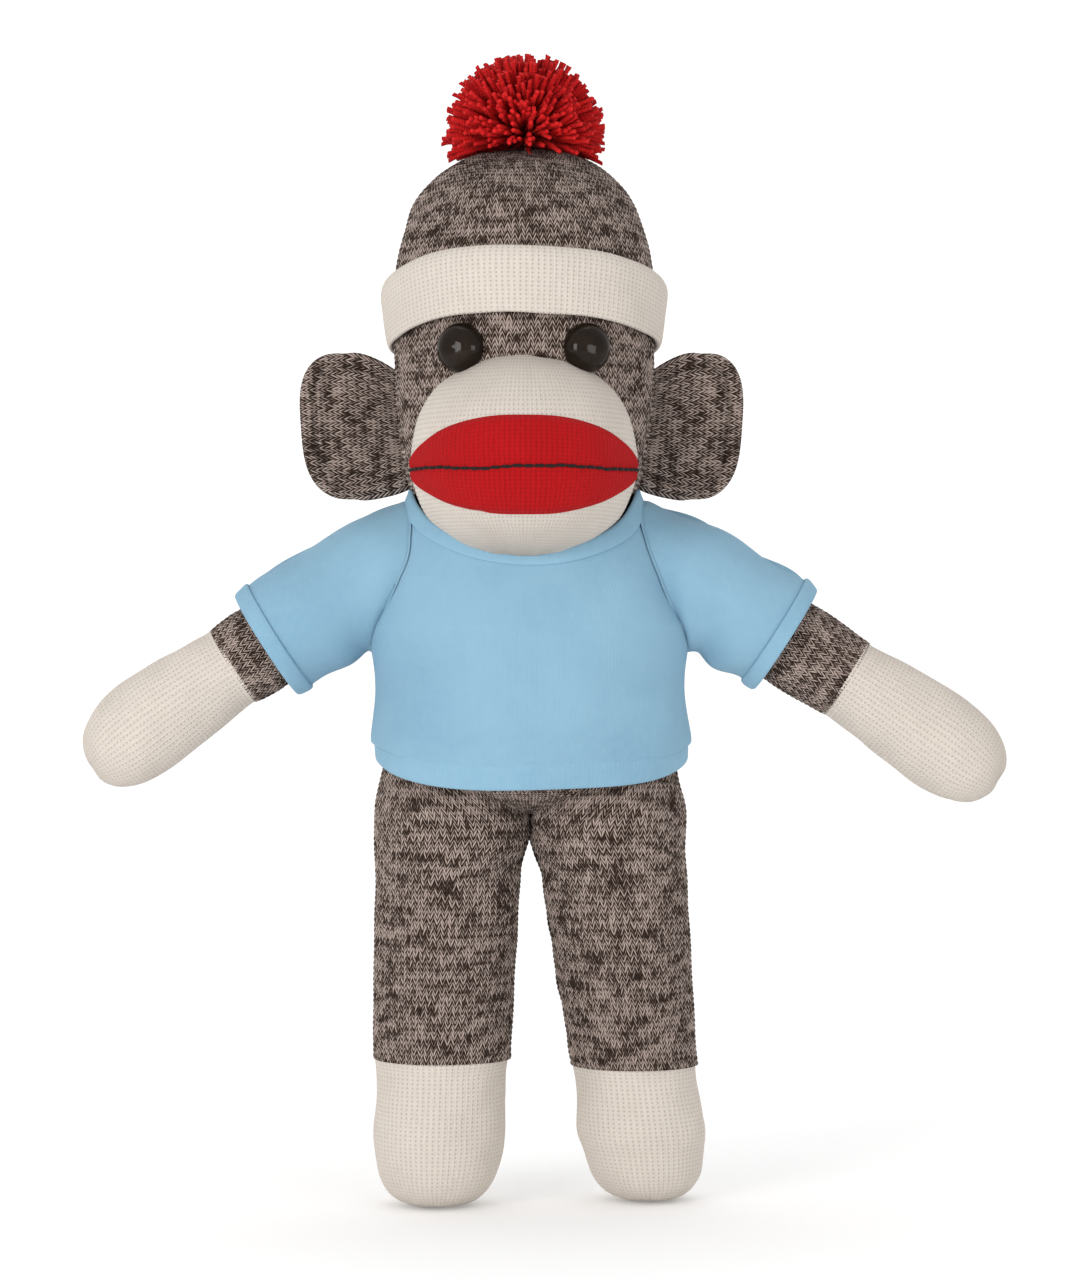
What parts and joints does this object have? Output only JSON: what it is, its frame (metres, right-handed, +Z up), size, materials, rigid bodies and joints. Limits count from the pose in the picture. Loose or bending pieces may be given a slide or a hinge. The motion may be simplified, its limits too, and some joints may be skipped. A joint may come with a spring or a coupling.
{
  "type": "stuffed monkey",
  "caption": "Stuffed knitted monkey with a pull-on shirt, pom-pom hat, big muzzle and limbs that swing at sewn joints.",
  "frame": {"origin": "middle of the bounding box's underside, on the surface both soles stand on", "axes": "+Z up, the face looks along -Y, +X to the doll's left"},
  "size_m": [0.3275, 0.1269, 0.406],
  "materials": {
    "marled_knit": "stocking-stitch knit of brown and cream plies, matt",
    "cream_knit": "fine cream knit, matt",
    "red_knit": "fine red knit, matt",
    "red_yarn": "loose cut wool yarn, fuzzy",
    "jersey": "light blue cotton jersey, matt",
    "jersey_rib": "light blue ribbed cotton band, matt",
    "black_thread": "black embroidery thread",
    "stuffing": "polyester fibre filling",
    "eye_plastic": "glossy black",
    "washer_plastic": "white"
  },
  "bodies": {
    "torso": {"torso_skin": "marled_knit", "torso_stuffing": "stuffing", "shirt_front": "jersey", "shirt_back": "jersey", "shirt_hem": "jersey_rib", "shirt_neckband_front": "jersey_rib", "shirt_neckband_back": "jersey_rib"},
    "neck": {"neck_skin": "marled_knit", "neck_stuffing": "stuffing"},
    "head": {"head_skin": "marled_knit", "head_stuffing": "stuffing", "muzzle_skin": "cream_knit", "muzzle_stuffing": "stuffing", "lips": "red_knit", "mouth_thread": "black_thread", "hat_crown": "marled_knit", "hat_cuff": "cream_knit", "right_eye": "eye_plastic", "right_eye_washer": "washer_plastic", "left_eye": "eye_plastic", "left_eye_washer": "washer_plastic"},
    "pompom": {"pompom_tie": "red_yarn", "pompom_yarn": "red_yarn"},
    "right_ear": {"right_ear_front": "marled_knit", "right_ear_back": "marled_knit", "right_ear_batting": "stuffing"},
    "right_arm": {"right_sleeve": "jersey", "right_sleeve_cuff": "jersey_rib", "right_upper_arm_skin": "marled_knit", "right_upper_arm_stuffing": "stuffing"},
    "right_forearm": {"right_forearm_skin": "marled_knit", "right_hand_skin": "cream_knit", "right_forearm_stuffing": "stuffing"},
    "right_leg": {"right_leg_skin": "marled_knit", "right_foot_skin": "cream_knit", "right_leg_stuffing": "stuffing"},
    "left_ear": {"left_ear_front": "marled_knit", "left_ear_back": "marled_knit", "left_ear_batting": "stuffing"},
    "left_arm": {"left_sleeve": "jersey", "left_sleeve_cuff": "jersey_rib", "left_upper_arm_skin": "marled_knit", "left_upper_arm_stuffing": "stuffing"},
    "left_forearm": {"left_forearm_skin": "marled_knit", "left_hand_skin": "cream_knit", "left_forearm_stuffing": "stuffing"},
    "left_leg": {"left_leg_skin": "marled_knit", "left_foot_skin": "cream_knit", "left_leg_stuffing": "stuffing"}
  },
  "joints": [
    {"name": "neck_turn", "type": "hinge", "parent": "torso", "child": "neck", "pos_m": [-0.0067, 0.01312, 0.244], "axis": [0, 0, 1], "range_deg": [-30, 30], "stiffness_Nm_per_rad": 0.35},
    {"name": "head_nod", "type": "hinge", "parent": "neck", "child": "head", "pos_m": [-0.0067, 0.01312, 0.244], "axis": [1, 0, 0], "range_deg": [-10, 4], "stiffness_Nm_per_rad": 1.2},
    {"name": "pompom_flop", "type": "hinge", "parent": "head", "child": "pompom", "pos_m": [-0.0067, 0.01312, 0.3774], "axis": [0, 1, 0], "range_deg": [-12, 12], "stiffness_Nm_per_rad": 0.03},
    {"name": "right_ear_fold", "type": "hinge", "parent": "head", "child": "right_ear", "pos_m": [-0.05468, 0.01112, 0.277], "axis": [-0.0698, 0, 0.9976], "range_deg": [-45, 60], "stiffness_Nm_per_rad": 0.02},
    {"name": "right_shoulder_swing", "type": "hinge", "parent": "torso", "child": "right_arm", "pos_m": [-0.0546, 0.01312, 0.226], "axis": [-0.5373, 0, 0.8434], "range_deg": [-20, 60], "stiffness_Nm_per_rad": 0.25},
    {"name": "right_elbow_raise", "type": "hinge", "parent": "right_arm", "child": "right_forearm", "pos_m": [-0.09829, 0.01312, 0.19817], "axis": [0, 1, 0], "range_deg": [-22, 22], "stiffness_Nm_per_rad": 0.15},
    {"name": "right_hip_swing", "type": "hinge", "parent": "torso", "child": "right_leg", "pos_m": [-0.03385, 0.01312, 0.121], "axis": [-1, 0, 0], "range_deg": [-8, 85], "stiffness_Nm_per_rad": 1},
    {"name": "left_ear_fold", "type": "hinge", "parent": "head", "child": "left_ear", "pos_m": [0.04128, 0.01112, 0.277], "axis": [-0.0698, 0, -0.9976], "range_deg": [-45, 60], "stiffness_Nm_per_rad": 0.02},
    {"name": "left_shoulder_swing", "type": "hinge", "parent": "torso", "child": "left_arm", "pos_m": [0.0454, 0.01312, 0.226], "axis": [-0.5373, 0, -0.8434], "range_deg": [-20, 60], "stiffness_Nm_per_rad": 0.25},
    {"name": "left_elbow_raise", "type": "hinge", "parent": "left_arm", "child": "left_forearm", "pos_m": [0.08614, 0.01312, 0.20005], "axis": [0, -1, 0], "range_deg": [-22, 22], "stiffness_Nm_per_rad": 0.15},
    {"name": "left_hip_swing", "type": "hinge", "parent": "torso", "child": "left_leg", "pos_m": [0.02465, 0.01312, 0.121], "axis": [-1, 0, 0], "range_deg": [-8, 85], "stiffness_Nm_per_rad": 1}
  ]
}
